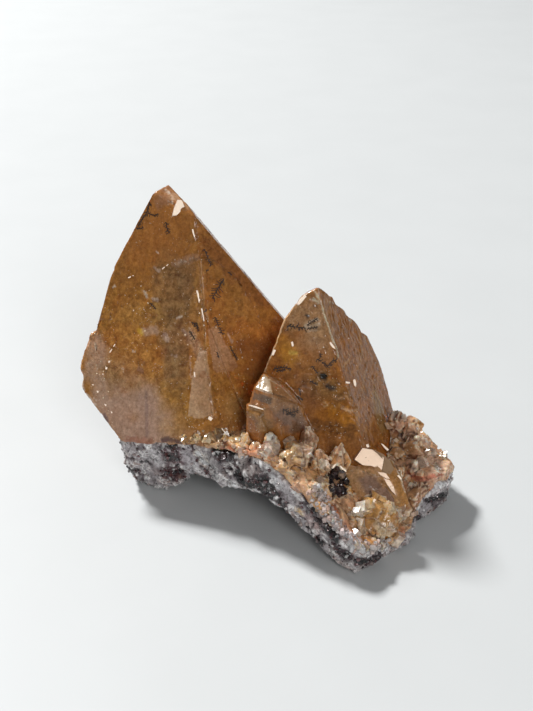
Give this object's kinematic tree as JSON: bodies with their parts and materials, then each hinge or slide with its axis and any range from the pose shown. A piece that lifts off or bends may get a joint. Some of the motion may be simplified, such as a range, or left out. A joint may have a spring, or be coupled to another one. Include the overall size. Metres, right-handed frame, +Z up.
{
  "type": "calcite crystal specimen",
  "caption": "Mineral specimen: two golden dogtooth calcite crystals and a crust of small brown ones on an arched base of grey quartz matrix.",
  "frame": {"origin": "middle of the bounding box in plan, at the level the matrix stands on", "axes": "+Z up; +X from the large crystal to the second one; +Y to the back, away from the front crystals"},
  "size_m": [0.0922, 0.07, 0.0731],
  "materials": {
    "honey_calcite": "translucent golden brown, glossy",
    "amber_calcite": "translucent amber brown, glossy",
    "brown_calcite": "pinkish brown, glinting",
    "grey_matrix": "rough grey quartz with black grains"
  },
  "bodies": {
    "root": {"large_crystal": "honey_calcite", "second_crystal": "amber_calcite", "front_crystals": "amber_calcite", "small_crystals": "brown_calcite", "matrix": "grey_matrix"}
  },
  "joints": []
}
